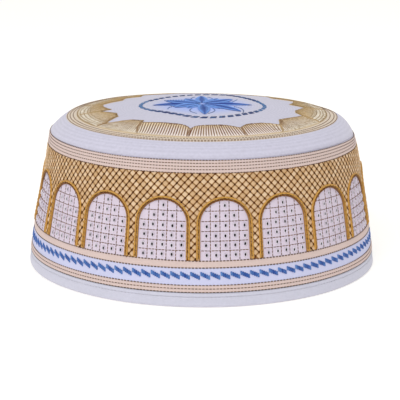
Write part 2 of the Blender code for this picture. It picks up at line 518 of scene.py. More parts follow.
# %% Distance from the arches
ARCH_COUNT = 18
ARCH_PITCH = WALL_LENGTH / ARCH_COUNT
FIRST_ARCH = math.radians(7.3) * FLAT_RADIUS
ARCH_HALF_WIDTH = 12.0 * MM
ARCH_RISE = 11.1 * MM
WINDOW_FOOT = 23.1 * MM
LATTICE_TOP = 65.5 * MM


def from_arch_middle(along):
    """How far along the wall a place is from the middle of the nearest arch."""
    return np.mod(along - FIRST_ARCH + ARCH_PITCH / 2.0, ARCH_PITCH) - ARCH_PITCH / 2.0


def outside_opening(along, height):
    """Distance from the opening's edge, negative inside it.

    Below the springing it is the distance past the straight sides. Above it is how much
    larger an ellipse through the place is than the arch.
    """
    sideways = np.abs(from_arch_middle(along))
    above = np.maximum(height - ARCH_SPRING_HEIGHT, 0.0)
    ellipse = np.sqrt((sideways / ARCH_HALF_WIDTH) ** 2 + (above / ARCH_RISE) ** 2)
    return np.where(above > 0.0, (ellipse - 1.0) * ARCH_RISE, sideways - ARCH_HALF_WIDTH)


print("arches every", round(ARCH_PITCH / MM, 1), "mm along the wall")

# %% [markdown]
# ## Bands of colour on the wall
# The wall's cloth shows between the stitches: cream ribs, brown under the lattice, white
# in the windows and in the strip with the blue bars. It could be several pieces, but one
# cloth is what was sewn. So its finish reads the height from the UV map and changes
# colour at each stitch line, and the carried distance from the arches marks the windows.

# %% Wall cloth finish
RIB_CREAM = colour(224, 204, 200)
RIB_CREAM_SHADE = colour(190, 164, 152)
LATTICE_GROUND = colour(138, 80, 30)
WINDOW_WHITE = colour(219, 207, 223)
STRIP_WHITE = colour(206, 208, 238)

wall_finish, flow = cloth_finish("embroidered_wall_cotton", 0.9, 0.08)
along, height = flow.uv().apart()
satin = along.stripes(0.55 * MM)
rib_colour = (satin * 0.45).mix(RIB_CREAM, RIB_CREAM_SHADE)
base = flow.carried("outside_opening").rise(-0.1 * MM, 0.1 * MM).mix(WINDOW_WHITE, LATTICE_GROUND)
base = height.rise(65.3 * MM, 65.6 * MM).mix(base, rib_colour)
for line, below in ((23.1, rib_colour), (19.6, STRIP_WHITE), (11.1, rib_colour), (7.6, COTTON_WHITE)):
    base = (1.0 - height.rise((line - 0.1) * MM, (line + 0.1) * MM)).mix(base, below)
base = (1.0 - height.rise(-0.02, -0.01)).mix(base, COTTON_INSIDE)
look = unevenness(flow, 1300.0, 0.04) * unevenness(flow, 70.0, 0.03)
feed(wall_finish, base, look, weave(along, height) * 0.6 + satin * 0.4, 0.06 * MM)
print("wall cloth bands: ribs, lattice, windows, strip")

# %% [markdown]
# ## The side wall
# The wall is one strip of quilted cloth, sewn into a ring. Rows of stitching squeeze it
# into corded ribs: three groups of soft ridges round it. The section runs down the
# outside over the ribs, steps in under the hem, and comes back up the inside. The heights
# of the inside are stored a metre lower in the UV map, which tells the finish which side
# it is on.

# %% Wall cloth
WALL_COLUMNS = 480
WALL_CLOTH = 2.4 * MM
RIB_LINES = ((71.6, 70.2, 68.7, 67.2, 65.5), (23.1, 19.6), (11.1, 9.4, 7.6))
RIB_RELIEF = 0.42 * MM
HEM_FOLD = 1.2 * MM
EDGE_CLOTH = 1.6 * MM
INSIDE_MARK = 1.0


def rib_relief(height):
    """Half a sine between each two neighbouring stitch lines, and nothing elsewhere."""
    relief = np.zeros_like(height)
    for lines in RIB_LINES:
        for upper, lower in zip(lines, lines[1:]):
            share = (height / MM - lower) / (upper - lower)
            relief += np.where((share > 0.0) & (share < 1.0), np.sin(math.pi * share), 0.0)
    return relief * RIB_RELIEF


def wall_ring(angles, heights, inward):
    """Rows of the wall: its radius at each height, less a distance straight inward."""
    heights = heights[:, None]
    radii = wall_radius(heights) + wall_wander(angles, heights) - inward[:, None]
    return turned(radii, heights - wall_sag(angles, heights), angles)


def make_strip(name, rows, row_heights, material, values=None):
    """A closed tube of rows round the cap, with its place on the flat cloth as its UV."""
    quads, corner_rows, corner_columns = grid_faces(len(rows), WALL_COLUMNS, wrap_rows=True)
    along = (corner_columns / WALL_COLUMNS - 0.5) * WALL_LENGTH
    uv = np.stack([along, row_heights[corner_rows % len(rows)]], axis=-1)
    faces = [quads[:, ::-1]]
    return make_piece(name, rows.reshape(-1, 3), faces, [uv[:, ::-1]], material, values)


wall_angles = round_angles(WALL_COLUMNS)
ribbed = [np.arange(lines[0], lines[-1] - 0.01, -0.35) for lines in RIB_LINES]
plain = [np.arange(65.5, 23.2, -1.4), np.arange(19.6, 11.2, -0.9)]
outer_heights = np.concatenate([ribbed[0], plain[0], ribbed[1], plain[1], ribbed[2], [7.6]]) * MM
fold_heights = np.array([7.6, 1.5, 1.5, 7.6, 9.0, 25.0, 45.0, 60.0, 71.5]) * MM
fold_inward = np.array([HEM_FOLD] * 2 + [HEM_FOLD + EDGE_CLOTH] * 2 + [WALL_CLOTH] * 5)
section_heights = np.concatenate([outer_heights, fold_heights])
section_inward = np.concatenate([-rib_relief(outer_heights), fold_inward])
rows = wall_ring(wall_angles, section_heights, section_inward)
row_heights = np.concatenate([outer_heights, fold_heights - INSIDE_MARK])
opening_distance = outside_opening(wall_angles * FLAT_RADIUS, np.abs(row_heights)[:, None])
wall_cloth = make_strip(
    "wall_cloth", rows, row_heights, wall_finish, {"outside_opening": opening_distance},
)
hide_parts("side_band")

# %% [markdown]
# ## The hem
# A strip of plain cotton is folded round the lower edge, so its section is a U. The cap
# stands on its rounded fold. A row of stitching pulls it in, with small puckers.

# %% Hem strip
HEM_CLOTH = 0.9 * MM
HEM_WHITE = colour(206, 206, 222)
HEM_FOOT_PAINTED_SHADE = colour(196, 192, 204)
HEM_ROUNDING = 1.3 * MM
HEM_DEPTH = 4.0 * MM
HEM_STITCH_HEIGHT = 5.3 * MM
PULLED_IN = 0.07 * MM
PUCKER = 0.03 * MM

hem_finish, flow = cloth_finish("white_hem_cotton", 0.9, 0.25)
along, height = flow.uv().apart()
# Painted shade: over its lowest 1.6 mm the hem is mixed halfway towards a darker white, where it meets the
# floor.
painted_floor_shade = 1.0 - height.rise(0.0, 1.6 * MM)
base = (painted_floor_shade * 0.5).mix(HEM_WHITE, HEM_FOOT_PAINTED_SHADE)
look = unevenness(flow, 700.0, 0.07) * unevenness(flow, 60.0, 0.025)
feed(hem_finish, base, look, weave(along, height), WEAVE_DEPTH)


def hem_section():
    """Heights and inward distances: outside, quarter-round corners below, inside, and the fold."""
    turn = np.linspace(0.0, math.pi / 2.0, 6)
    down = np.array([7.3, 7.0, 6.4, 5.8, 5.3, 4.8, 4.2, 3.2, 2.2]) * MM
    outer_corner = (HEM_ROUNDING * (1.0 - np.sin(turn)), HEM_ROUNDING * (1.0 - np.cos(turn)))
    inner_corner = (outer_corner[0][::-1], HEM_DEPTH - outer_corner[1][::-1])
    up = np.array([3.0, 5.0, 7.3]) * MM
    fold = np.array([7.3, 1.3, 1.3, 7.3]) * MM
    fold_in = np.array([HEM_DEPTH - HEM_CLOTH, HEM_DEPTH - HEM_CLOTH, HEM_CLOTH, HEM_CLOTH])
    heights = np.concatenate([down, outer_corner[0], inner_corner[0], up, fold])
    inward = np.concatenate([0.0 * down, outer_corner[1], inner_corner[1], HEM_DEPTH + 0.0 * up, fold_in])
    return heights, inward


section_heights, section_inward = hem_section()
on_face = section_inward < 0.1 * MM
pulled_in = PULLED_IN * np.exp(-((section_heights - HEM_STITCH_HEIGHT) / (0.5 * MM)) ** 2) * on_face
rolled_in = np.where(on_face & (section_heights > 7.2 * MM), 0.25 * MM, 0.0)
rows = wall_ring(wall_angles, section_heights, section_inward + pulled_in + rolled_in)
puckers = PUCKER * np.sin(wall_angles * 190.0) * (pulled_in[:, None] / PULLED_IN)
rows[..., :2] += polar(puckers, wall_angles)
hem_strip = make_strip("hem_strip", rows, section_heights, hem_finish)
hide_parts("hem_binding")

# %% [markdown]
# ## Stitches
# A stitch is a short thread that dives into the cloth at both ends. One small shape with
# pointed ends and five sides stands for all of them. It is copied thousands of times by
# adding arrays: every stitch has a place, a direction, a length, a width and a height.

# %% One stitch, many times
around_thread = np.radians(90.0 + 72.0 * np.arange(5))
thread_ring = 0.5 * np.stack([0.0 * around_thread, np.cos(around_thread), np.sin(around_thread)], axis=1)
thread_ring = thread_ring + [0.0, 0.0, 0.3]


def stitch_shape(reach):
    """A tip, two rings of five points at reach to either side of the middle, and a tip."""
    rings = [thread_ring - [reach, 0.0, 0.0], thread_ring + [reach, 0.0, 0.0]]
    return np.concatenate([[[-0.5, 0.0, -0.1]], *rings, [[0.5, 0.0, -0.1]]])


RUNNING = stitch_shape(0.31)
SATIN = stitch_shape(0.44)
STITCH_POINTS = len(RUNNING)
ring_place = np.arange(5)
ring_next = (ring_place + 1) % 5
STITCH_FACES = np.concatenate([
    np.stack([0 * ring_place, ring_next + 1, ring_place + 1], axis=1),
    np.stack([ring_place + 1, ring_next + 1, ring_next + 6], axis=1),
    np.stack([ring_place + 1, ring_next + 6, ring_place + 6], axis=1),
    np.stack([ring_place + 6, ring_next + 6, 0 * ring_place + 11], axis=1),
])
dice = np.random.default_rng(11)


def lay_stitches(surface, places, directions, length, width, height, lift=0.0, shade=None, shape=RUNNING):
    """Stitches on a surface: place + length * ahead + width * sideways, height off the cloth.

    places and directions are n by 2, the sizes are numbers or arrays of n.
    """
    count = len(places)
    length, width, height = (np.broadcast_to(size, (count,))[:, None] for size in (length, width, height))
    ahead = directions / np.linalg.norm(directions, axis=1, keepdims=True)
    forward = shape[:, 0] * length
    aside = shape[:, 1] * width
    x = places[:, :1] + forward * ahead[:, :1] - aside * ahead[:, 1:]
    y = places[:, 1:] + forward * ahead[:, 1:] + aside * ahead[:, :1]
    points = surface(x, y, shape[:, 2] * height + lift)
    faces, uvs = copies(STITCH_FACES, (shape[:, :2] + 0.5)[STITCH_FACES], STITCH_POINTS, count)
    if shade is None:
        shade = dice.random(count)
    shades = np.repeat(np.broadcast_to(shade, (count,)), STITCH_POINTS)
    return points.reshape(-1, 3), faces, uvs, shades


print("stitch:", len(STITCH_FACES), "faces")

# %% [markdown]
# ## Threads as pieces
# All stitches of one thread become one piece, because thousands of objects would be slow
# to handle. Each stitch keeps a number, its shade. The finish mixes a dark and a light
# tint by it, so that neighbours differ a little, as spun thread does.

# %% Pieces of thread
def make_threads(name, parts, material):
    """One piece from several sets of stitches or threads, each with its faces counted on."""
    faces = []
    count = 0
    for points, part_faces, _, _ in parts:
        faces += [part + count for part in part_faces]
        count += len(points)
    points = np.concatenate([part[0] for part in parts])
    uvs = [uv for part in parts for uv in part[2]]
    shades = np.concatenate([part[3] for part in parts])
    return make_piece(name, points, faces, uvs, material, {"shade": shades})


def thread_finish(name, dark, light, roughness=0.6, sheen=0.3, strands=5.0, specular=0.25):
    """Spun thread: fine fibres along it, and each thread between a dark and a light tint."""
    material, flow = cloth_finish(name, roughness, sheen, specular)
    fibres = flow.uv().apart()[1].stripes(1.0 / strands)
    base = flow.carried("shade").mix(colour(*dark), colour(*light))
    look = (fibres * 0.16 + 0.90) * unevenness(flow, 500.0, 0.08)
    feed(material, base, look, fibres, 0.08 * MM)
    return material


brown_thread = thread_finish("brown_thread", (92, 62, 44), (128, 92, 62))
white_thread = thread_finish("white_thread", (202, 201, 216), (214, 213, 228))
print("threads ready:", brown_thread.name, white_thread.name)

# %% [markdown]
# ## Dashed lines round the wall
# Rows of brown running stitch bound every rib. Each row is a full circle of dashes with
# a whole number of stitches, so it closes without a half stitch at the back. The hem has
# one row in white, which hardly shows.

# %% Brown running stitch
DASH_PITCH = 1.65 * MM
DASH_SIZES = {"length": 1.42 * MM, "width": 0.60 * MM, "height": 0.34 * MM}
HEM_DASH_SIZES = {"length": 1.3 * MM, "width": 0.30 * MM, "height": 0.12 * MM}
DASH_LINES = (71.5, 70.2, 68.7, 67.2, 65.5, 23.1, 19.6, 11.1, 9.4, 7.7)


def run_along(path):
    """The distance along a flat path at each of its points."""
    steps = np.linalg.norm(np.diff(path, axis=0), axis=1)
    return np.concatenate([[0.0], np.cumsum(steps)])


def on_path(path, run, at):
    """The places at some distances along a path, on straight lines between its points."""
    return np.stack([np.interp(at, run, path[:, 0]), np.interp(at, run, path[:, 1])], axis=-1)


def running_stitch(surface, path, pitch, **sizes):
    """Stitches at even steps along a flat path of many points, each along the path."""
    run = run_along(path)
    count = max(1, int(round(run[-1] / pitch)))
    at = (np.arange(count) + 0.5) * run[-1] / count
    ahead = on_path(path, run, at + 0.1 * pitch) - on_path(path, run, at - 0.1 * pitch)
    return lay_stitches(surface, on_path(path, run, at), ahead, **sizes)


whole_wall = np.linspace(-WALL_LENGTH / 2.0, WALL_LENGTH / 2.0, 721)
dashes = []
for line in DASH_LINES:
    wobble = 0.08 * MM * np.sin(whole_wall * 2.0 * math.pi * 7.0 / WALL_LENGTH + line)
    circle = np.stack([whole_wall, line * MM + wobble], axis=1)
    dashes.append(running_stitch(on_wall, circle, DASH_PITCH, **DASH_SIZES))
make_threads("rib_stitches", dashes, brown_thread)
hem_line = np.stack([whole_wall, HEM_STITCH_HEIGHT + 0.0 * whole_wall], axis=1)
hem_dashes = running_stitch(on_wall, hem_line, 1.8 * MM, **HEM_DASH_SIZES)
make_threads("hem_stitches", [hem_dashes], white_thread)

# %% [markdown]
# ## Threads along paths
# Cords, veins and petals are long threads. A thread is a tube along a flat path. Its
# section is an oval square to the path, and its ends shrink to a point. For a twisted
# cord the oval is fatter along one axis and turns as it goes, which looks like two plies.

# %% Threads along paths
TAPER_STATIONS = 2
TWIST_SWELL = 0.16


def lay_tubes(surface, paths, width, height, sides=6, lift=0.0, twist=None, shade=None):
    """Tubes along flat paths (n by stations by 2): an oval square to the path at each station.

    The ends shrink to a point. With twist, the oval is fatter along one axis, and that
    axis turns once every two twists.
    """
    count, stations = paths.shape[:2]
    steps = np.linalg.norm(np.diff(paths, axis=1), axis=2)
    run = np.concatenate([np.zeros((count, 1)), np.cumsum(steps, axis=1)], axis=1)[..., None]
    ahead = np.gradient(paths, axis=1)
    ahead = ahead / np.linalg.norm(ahead, axis=2, keepdims=True)
    turn = 2.0 * math.pi * np.arange(sides) / sides
    ends = np.minimum(np.arange(stations), np.arange(stations)[::-1])
    swell = np.sin(0.5 * math.pi * np.clip((ends + 0.05) / TAPER_STATIONS, 0.0, 1.0))[None, :, None]
    if twist:
        swell = swell * (1.0 + TWIST_SWELL * np.cos(2.0 * turn - 2.0 * math.pi * run / twist))
    across = 0.5 * width * swell * np.cos(turn)
    up = lift + height * (0.5 + 0.5 * swell * np.sin(turn))
    x = paths[..., :1] - across * ahead[..., 1:]
    y = paths[..., 1:] + across * ahead[..., :1]
    quads, corner_rows, corner_columns = grid_faces(stations, sides)
    size = stations * sides
    caps = np.stack([np.arange(sides)[::-1], np.arange(sides) + size - sides])
    shift = size * np.arange(count)[:, None, None]
    run_uv = run[:, corner_rows, 0]
    uv = np.stack([run_uv, np.broadcast_to(corner_columns / sides, run_uv.shape)], axis=-1)
    faces = [(quads + shift).reshape(-1, 4), (caps + shift).reshape(-1, sides)]
    uvs = [uv.reshape(-1, 4, 2), np.zeros((2 * count, sides, 2))]
    if np.ndim(shade) == 1:
        shade = shade[:, None]
    shades = np.repeat(np.broadcast_to(shade, (count, stations)), sides)
    return surface(x, y, up).reshape(-1, 3), faces, uvs, shades


def arch_path(middle, outward, stations, foot=23.3 * MM):
    """An arch at a distance outside the opening: up one side, half an ellipse, down the other."""
    half_width = ARCH_HALF_WIDTH + outward
    turn = np.linspace(math.pi, 0.0, 121)
    x = np.concatenate([[-half_width], half_width * np.cos(turn), [half_width]])
    crest = ARCH_SPRING_HEIGHT + (ARCH_RISE + outward) * np.sin(turn)
    path = np.stack([x, np.concatenate([[foot], crest, [foot]])], axis=1)
    run = run_along(path)
    return on_path(path, run, np.linspace(0.0, run[-1], stations)) + [middle, 0.0]


print("round one opening:", round(run_along(arch_path(0.0, 0.0, 60))[-1] / MM, 1), "mm")

# %% [markdown]
# ## Golden cords round the arches
# Each arch is edged with two twisted cords, laid side by side and sewn down with short
# couching stitches. They could be textured bands, but real tubes catch the light as cords
# do. The outer cord is the lighter one. The inner one is darkened towards the crest, which
# is painted shade: there it lies in shadow.

# %% Golden cords
CORD_STATIONS = 170
CORD_TWIST = 2.1 * MM
# The inner strand's tint falls towards the crest: painted shade, where it lies in shadow at the top of the
# arch.
STRANDS = (
    {"outward": 0.38 * MM, "width": 0.80 * MM, "height": 1.0 * MM, "shade": 0.62, "crest_painted_shade": 0.52},
    {"outward": 1.46 * MM, "width": 0.88 * MM, "height": 1.15 * MM, "shade": 0.86, "crest_painted_shade": 0.0},
)
COUCHING_STATIONS = 400
COUCHING_EVERY = 12

golden_thread = thread_finish("golden_thread", (104, 52, 12), (222, 168, 80), 0.5, 0.1, 6.0)
couching = []
for number in range(ARCH_COUNT):
    middle = FIRST_ARCH + number * ARCH_PITCH
    strands = []
    for strand in STRANDS:
        path = arch_path(middle, strand["outward"], CORD_STATIONS)[None]
        crest = np.clip((path[..., 1] - ARCH_SPRING_HEIGHT) / ARCH_RISE, 0.0, 1.0)
        strands.append(lay_tubes(
            on_wall, path, strand["width"], strand["height"], sides=8, lift=-0.05 * MM,
            twist=CORD_TWIST, shade=strand["shade"] - strand["crest_painted_shade"] * crest ** 0.6,
        ))
    cord = make_threads(f"couched_cord_{number + 1:02d}", strands, golden_thread)
    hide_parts(f"arch_cord_{number + 1:02d}")
    middle_line = arch_path(middle, 0.88 * MM, COUCHING_STATIONS)
    every = np.arange(6, COUCHING_STATIONS - 6, COUCHING_EVERY)
    ahead = middle_line[every + 2] - middle_line[every - 2]
    over = np.stack([-ahead[:, 1], ahead[:, 0]], axis=1) + 0.35 * ahead
    couching.append(lay_stitches(
        on_wall, middle_line[every], over, 2.1 * MM, 0.30 * MM, 0.45 * MM, lift=0.78 * MM,
        shade=0.3 + 0.3 * dice.random(len(every)),
    ))
make_threads("couching_stitches", couching, golden_thread)

# %% [markdown]
# ## Places of the lattice
# Between the arches the wall is filled with a slanting lattice, like a woven basket. Its
# crossings are easy to list as straight rows and columns. The rows in the photograph are
# not level, though, so one function leans every place over afterwards.

# %% The lattice's places
LATTICE_COLUMNS = 282
LATTICE_FIRST = -4.77 * MM
LATTICE_MIDDLE = 58.0 * MM
LATTICE_LEVEL = math.radians(12.0)
LATTICE_TILT = 0.2
HALF_DIAMOND = WALL_LENGTH / LATTICE_COLUMNS
LATTICE_ROW_TOP = 61.63 * MM
LATTICE_ROW = 1.855 * MM


def lean_over(places):
    """The lattice was worked straight on cloth cut as an arc, so its rows and columns tilt.

    The slope is minus tilt times the sine of the angle from where it is level. Rows rise by
    the integral of that slope, and columns lean by the same slope, so squares stay square.
    """
    turn = places[..., 0] / FLAT_RADIUS - LATTICE_LEVEL
    height = places[..., 1] + LATTICE_TILT * FLAT_RADIUS * (np.cos(turn) - 1.0)
    along = places[..., 0] + LATTICE_TILT * np.sin(turn) * (height - LATTICE_MIDDLE)
    return np.stack([along, height], axis=-1)


def lattice_places(parity):
    """Crossings of the straight lattice: columns and rows whose sum is even, or odd."""
    column, row = np.meshgrid(np.arange(LATTICE_COLUMNS), np.arange(-22, 21), indexing="ij")
    keep = (column + row) % 2 == parity
    x = LATTICE_FIRST + column[keep] * HALF_DIAMOND
    y = LATTICE_ROW_TOP - row[keep] * LATTICE_ROW
    return np.stack([x, y], axis=1)


def in_lattice(straight, margin, inset):
    """The places that, leant over, are margin clear of the openings and inset from the ribs."""
    along, height = lean_over(straight).T
    clear = outside_opening(along, height) > margin
    return straight[clear & (height > WINDOW_FOOT + inset) & (height < LATTICE_TOP - inset)]


print("crossings round the wall:", len(lattice_places(0)))

# %% [markdown]
# ## Diamonds of satin
# Each mesh of the lattice is a diamond of satin stitch. It could be a flat patch with a
# bump, but real pillows shade each other at the cap's sides. So each is a small grid whose
# height falls off towards its four sides. A pillow near an arch sinks into the cloth
# where the opening starts, so the lattice has a clean edge.

# %% Diamonds
PILLOW_HEIGHT = 0.55 * MM
PILLOW_SHARE = 0.94
PILLOW_ROOT = 0.35 * MM
SATIN_TINTS = (colour(220, 180, 134), colour(246, 216, 180))
SATIN_EDGE_LINE_AND_SHADE = colour(174, 120, 56)


def pillows(centres, steps=5):
    """Diamonds of steps by steps points: height is a product of two half sines across them."""
    share = np.linspace(-1.0, 1.0, steps)
    first, second = np.meshgrid(share, share, indexing="ij")
    x = centres[:, :1] + (first - second).ravel() * 0.5 * HALF_DIAMOND * PILLOW_SHARE
    y = centres[:, 1:] + (first + second).ravel() * 0.5 * LATTICE_ROW * PILLOW_SHARE
    leant = lean_over(np.stack([x, y], axis=-1))
    x, y = leant[..., 0], leant[..., 1]
    swell = (np.cos(0.5 * math.pi * first) * np.cos(0.5 * math.pi * second)).ravel() ** 0.6
    out = PILLOW_HEIGHT * swell + 0.03 * MM
    sink = np.clip((outside_opening(x, y) - 0.3 * MM) / (0.5 * MM), 0.0, 1.0)
    for clear in (LATTICE_TOP - y, y - WINDOW_FOOT):
        sink = sink * np.clip(clear / (0.4 * MM), 0.0, 1.0)
    points = on_wall(x, y, (out + PILLOW_ROOT) * sink - PILLOW_ROOT)
    quads, corner_rows, corner_columns = grid_faces(steps, steps, wrap_columns=False)
    unit_uv = np.stack([corner_rows, corner_columns], axis=-1) / (steps - 1.0)
    faces, uvs = copies(quads[:, ::-1], unit_uv[:, ::-1], steps * steps, len(centres))
    return points.reshape(-1, 3), faces, uvs, np.repeat(dice.random(len(centres)), steps * steps)


satin_finish, flow = cloth_finish("lattice_satin", 0.6, 0.0, 0.15)
across, up = flow.uv().apart()
threads = up.stripes(1.0 / 6.0)
# A brown line runs round each diamond, in full on its two lower edges and by half on its two upper ones. The
# line is thread, but the extra darkness of the lower edges is painted shade, as from light above.
far_edges = across.rise(0.90, 1.0) * 0.5 + up.rise(0.90, 1.0) * 0.5
edge = (1.0 - across.rise(0.02, 0.20)) + (1.0 - up.rise(0.02, 0.20)) + far_edges
base = flow.carried("shade").mix(*SATIN_TINTS)
base = edge.math("MINIMUM", edge, 1.0).mix(base, SATIN_EDGE_LINE_AND_SHADE)
look = (threads * 0.18 + 0.86) * unevenness(flow, 260.0, 0.10)
feed(satin_finish, base, look, threads, 0.10 * MM)

diamonds = in_lattice(lattice_places(1), 0.4 * MM, -0.9 * MM)
make_threads("lattice_pillows", [pillows(diamonds)], satin_finish)
print("diamonds:", len(diamonds))

# %% [markdown]
# ## Knots and threads of the lattice
# A dark cross stitch sits where four diamonds meet, and a finer thread lies along each of
# their sides. In the photograph the strokes that lean towards the front look bold and the
# others faint. All of them could be alike. Here each stroke's size and tint depend on its
# lean and on the side of the cap that it is on, so that the pattern reads the same way.

# %% Knots and threads between the diamonds
KNOT_LEVEL = math.radians(10.0)
KNOT_SPREAD = math.radians(22.0)


def boldness(places, lean):
    """Strokes that lean towards the front are bold: 1 on one side of the cap and 0 on the other."""
    turn = places[:, 0] / FLAT_RADIUS - KNOT_LEVEL
    return 0.5 - 0.5 * lean * np.tanh(np.sin(turn) / math.sin(KNOT_SPREAD))


def strokes(straight, ahead, *sizes, **looks):
    """Stitches on the straight lattice, along ahead, leant over with it."""
    places = lean_over(straight)
    return lay_stitches(on_wall, places, lean_over(straight + ahead) - places, *sizes, **looks)


dark_thread = thread_finish("dark_brown_thread", (68, 32, 6), (116, 64, 20), sheen=0.0, specular=0.15)
edge_thread = thread_finish("edge_thread", (88, 46, 12), (206, 154, 92), sheen=0.0, specular=0.15)
knots = in_lattice(lattice_places(0), 1.3 * MM, 0.3 * MM)
knot_sets = []
edge_sets = []
for lean in (-1.0, 1.0):
    ahead = np.array([0.3 * HALF_DIAMOND, 0.3 * lean * LATTICE_ROW])
    bold = boldness(knots, lean)
    length, width = (0.9 + 0.9 * bold) * MM, (0.34 + 0.50 * bold) * MM
    knot_sets.append(strokes(knots, ahead, length, width, 0.36 * MM, lift=0.10 * MM))
    to_side = np.array([lean * 0.5 * HALF_DIAMOND, -0.5 * LATTICE_ROW])
    sides_of = in_lattice(lattice_places(1) + to_side, 1.5 * MM, 0.3 * MM)
    bold = boldness(sides_of, lean)
    tint = np.clip(0.95 - 0.62 * bold + dice.normal(0.0, 0.12, len(bold)), 0.0, 1.0)
    height = (0.34 - 0.10 * bold) * MM
    edge_sets.append(strokes(sides_of, ahead, 2.5 * MM, 0.50 * MM, height, lift=0.06 * MM, shade=tint))
make_threads("lattice_knots", knot_sets, dark_thread)
make_threads("lattice_edges", edge_sets, edge_thread)

# %% [markdown]
# ## Windows
# Each arched window is white cloth with a stitched grid. The grid is the same running
# stitch in a thinner brown. Its lines are planned long and cut off where they meet the
# arch, by the same distance that colours the cloth, so none runs over the cord.

# %% Window grid
GRID_COLUMN = 4.72 * MM
GRID_ROWS = (47.2, 42.2, 37.4, 32.7, 28.0)
GRID_CLEAR = -0.05 * MM
GRID_SIZES = {"length": 1.62 * MM, "width": 0.38 * MM, "height": 0.28 * MM}


def grid_lines(middle):
    """Four upright and five level lines of one window, each a flat path inside the arch."""
    share = np.linspace(0.0, 1.0, 60)
    lines = []
    for column in (-1.5, -0.5, 0.5, 1.5):
        x = middle + column * GRID_COLUMN + 0.0 * share
        y = (WINDOW_FOOT + 0.2 * MM) + share * (ARCH_SPRING_HEIGHT + ARCH_RISE - WINDOW_FOOT)
        lines.append(np.stack([x, y], axis=1))
    for row in GRID_ROWS:
        x = middle + (2.0 * share - 1.0) * ARCH_HALF_WIDTH
        lines.append(np.stack([x, row * MM + 0.0 * share], axis=1))
    return [line[outside_opening(line[:, 0], line[:, 1]) < GRID_CLEAR] for line in lines]


grid_thread = thread_finish("grid_thread", (112, 72, 40), (154, 110, 68), 0.6, 0.1)
grid = []
for number in range(ARCH_COUNT):
    for line in grid_lines(FIRST_ARCH + number * ARCH_PITCH):
        grid.append(running_stitch(on_wall, line, DASH_PITCH, **GRID_SIZES))
make_threads("window_grid", grid, grid_thread)

# %% [markdown]
# ## Eyelets
# Nearly every square of the grid has an eyelet, a small hole worked round with white
# thread. A real hole through the cloth would need a cut mesh. A flat ring with a dark
# stitch in its middle looks the same and needs only a few faces. The dark stitch is
# painted shade, the dark of the hole's shaded inside.

# %% Eyelets
EYELET_ROWS = ((49.4, 1), (44.7, 3), (39.8, 5), (35.05, 5), (30.35, 5), (25.6, 5))
EYELET_HOLE = (0.46 * MM, 0.72 * MM)
EYELET_BAND = 0.50 * MM
EYELET_HEIGHT = 0.68 * MM
EYELET_SHIFT = (0.35 * MM, 0.25 * MM)
EYELET_SCATTER = 0.16 * MM


def eyelet_places():
    """The window's rows of evenly spaced eyelets, in every window, each a little off its place."""
    columns = [number - (count - 1) / 2.0 for _, count in EYELET_ROWS for number in range(count)]
    heights = [height for height, count in EYELET_ROWS for _ in range(count)]
    window = np.stack([np.array(columns) * GRID_COLUMN, np.array(heights) * MM], axis=1) + EYELET_SHIFT
    middles = FIRST_ARCH + ARCH_PITCH * np.arange(ARCH_COUNT)
    shifted = (window[None] + np.stack([middles, 0.0 * middles], axis=1)[:, None]).reshape(-1, 2)
    return shifted + dice.normal(0.0, EYELET_SCATTER, shifted.shape)


def rings(centres, hole, band, height, around=14, section=5):
    """Oval rings: a small circle carried round each hole, lying on the cloth."""
    turn = (2.0 * math.pi * np.arange(around) / around)[:, None]
    tube = (2.0 * math.pi * np.arange(section) / section)[None, :]
    reach = band * (1.0 + np.cos(tube)) * 0.5
    x = ((hole[0] + reach) * np.cos(turn)).ravel()
    y = ((hole[1] + reach) * np.sin(turn)).ravel()
    out = (height * (0.45 + 0.55 * np.sin(tube)) + 0.0 * turn).ravel()
    points = on_wall(centres[:, :1] + x, centres[:, 1:] + y, out + 0.0 * centres[:, :1])
    quads, corner_rows, corner_columns = grid_faces(around, section, wrap_rows=True)
    unit_uv = np.stack([corner_rows * 0.5, corner_columns / section], axis=-1)
    faces, uvs = copies(quads[:, ::-1], unit_uv[:, ::-1], around * section, len(centres))
    return points.reshape(-1, 3), faces, uvs, np.repeat(dice.random(len(centres)), around * section)


eyelets = eyelet_places()
eyelet_thread = thread_finish("eyelet_thread", (224, 216, 228), (240, 234, 244), 0.7, 0.1)
eyelet_rings = rings(eyelets, EYELET_HOLE, EYELET_BAND, EYELET_HEIGHT)
make_threads("eyelet_rings", [eyelet_rings], eyelet_thread)
upright = np.broadcast_to([0.0, 1.0], eyelets.shape)
# The dark stitch in each ring is painted shade: the dark of the hole's shaded inside.
hole_shade_finish = thread_finish("eyelet_hole_painted_shade", (34, 24, 30), (60, 44, 52), 0.9, 0.0)
holes = lay_stitches(on_wall, eyelets, upright, 2.0 * MM, 1.15 * MM, 0.10 * MM, lift=0.05 * MM)
make_threads("eyelet_holes", [holes], hole_shade_finish)
print("eyelets:", len(eyelets))

# %% [markdown]
# ## Blue bars
# Below the arches a row of slanting blue bars runs round the wall. Each bar is five short
# upright satin stitches, each a step lower than the one before, so its ends look stepped.

# %% Blue bars
BAR_COUNT = 117
BAR_MIDDLE = 15.85 * MM
BAR_REACH = (3.6 * MM, 1.7 * MM)
BAR_SHADES = (0.75, 0.35, 0.15, 0.30, 0.60)

